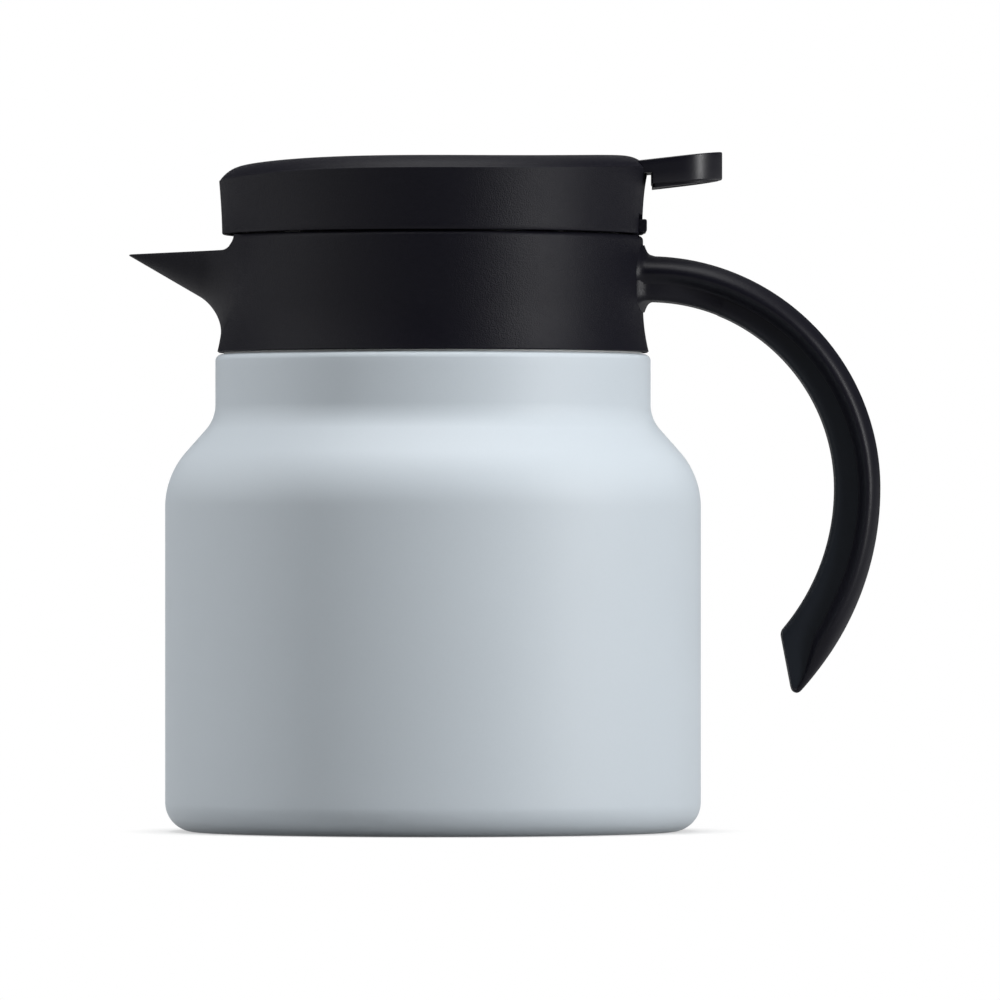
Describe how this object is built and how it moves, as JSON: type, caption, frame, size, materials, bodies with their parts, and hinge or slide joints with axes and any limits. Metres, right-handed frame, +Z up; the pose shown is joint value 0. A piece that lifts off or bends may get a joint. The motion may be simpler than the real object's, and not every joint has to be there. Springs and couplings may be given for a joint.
{
  "type": "thermal jug",
  "caption": "Squat insulated serving jug: rounded shoulder, screw-in black head with a beak spout and an open hooked handle, and a hinged lid with a thumb tab and stopper.",
  "frame": {"origin": "centre of the base on the jug's axis, on the surface it stands on", "axes": "+Z up along the jug's axis, +X towards the handle, -X towards the spout, +Y to the side"},
  "size_m": [0.1798, 0.128, 0.1619],
  "materials": {
    "powder_coat": "matte powder coat with a fine texture",
    "liner_steel": "drawn stainless steel, satin",
    "braze": "braze bead",
    "getter_alloy": "pressed powder",
    "base_plastic": "moulded, matte",
    "black_plastic": "moulded, fine spark-eroded grain",
    "satin_plastic": "moulded, smooth satin",
    "inner_plastic": "moulded, smooth",
    "silicone": "translucent silicone",
    "foam": "moulded insulating foam",
    "pin_steel": "plain stainless steel"
  },
  "bodies": {
    "flask": {"outer_shell": "powder_coat", "inner_liner": "liner_steel", "base_pan": "liner_steel", "base_cover": "base_plastic", "vacuum_seal": "braze", "getter_clip": "liner_steel", "getter_pellet": "getter_alloy"},
    "gasket": {"neck_gasket": "silicone"},
    "head": {"collar": "black_plastic", "handle_cover": "satin_plastic", "pour_deck": "inner_plastic", "thread_skirt": "inner_plastic", "insert_o_ring": "silicone", "hinge_pin": "pin_steel"},
    "lid": {"lid_shell": "black_plastic", "tab_cover": "satin_plastic", "lid_plate": "inner_plastic", "lid_plug": "inner_plastic", "lid_seal": "silicone", "lid_insulation": "foam", "plug_screws": "pin_steel"}
  },
  "joints": [
    {"name": "head_rise", "type": "slide", "parent": "flask", "child": "gasket", "axis": [0, 0, 1], "range_m": [0, 0.0063]},
    {"name": "head_turn", "type": "hinge", "parent": "gasket", "child": "head", "pos_m": [0, 0, 0.114], "axis": [0, 0, 1], "range_deg": [0, 450]},
    {"name": "lid_hinge", "type": "hinge", "parent": "head", "child": "lid", "pos_m": [0.0493, 0, 0.14445], "axis": [0, 1, 0], "range_deg": [0, 50]}
  ],
  "couplings": [
    {"joint": "head_rise", "follows": "head_turn", "m_per_rad": 0.00079577}
  ]
}
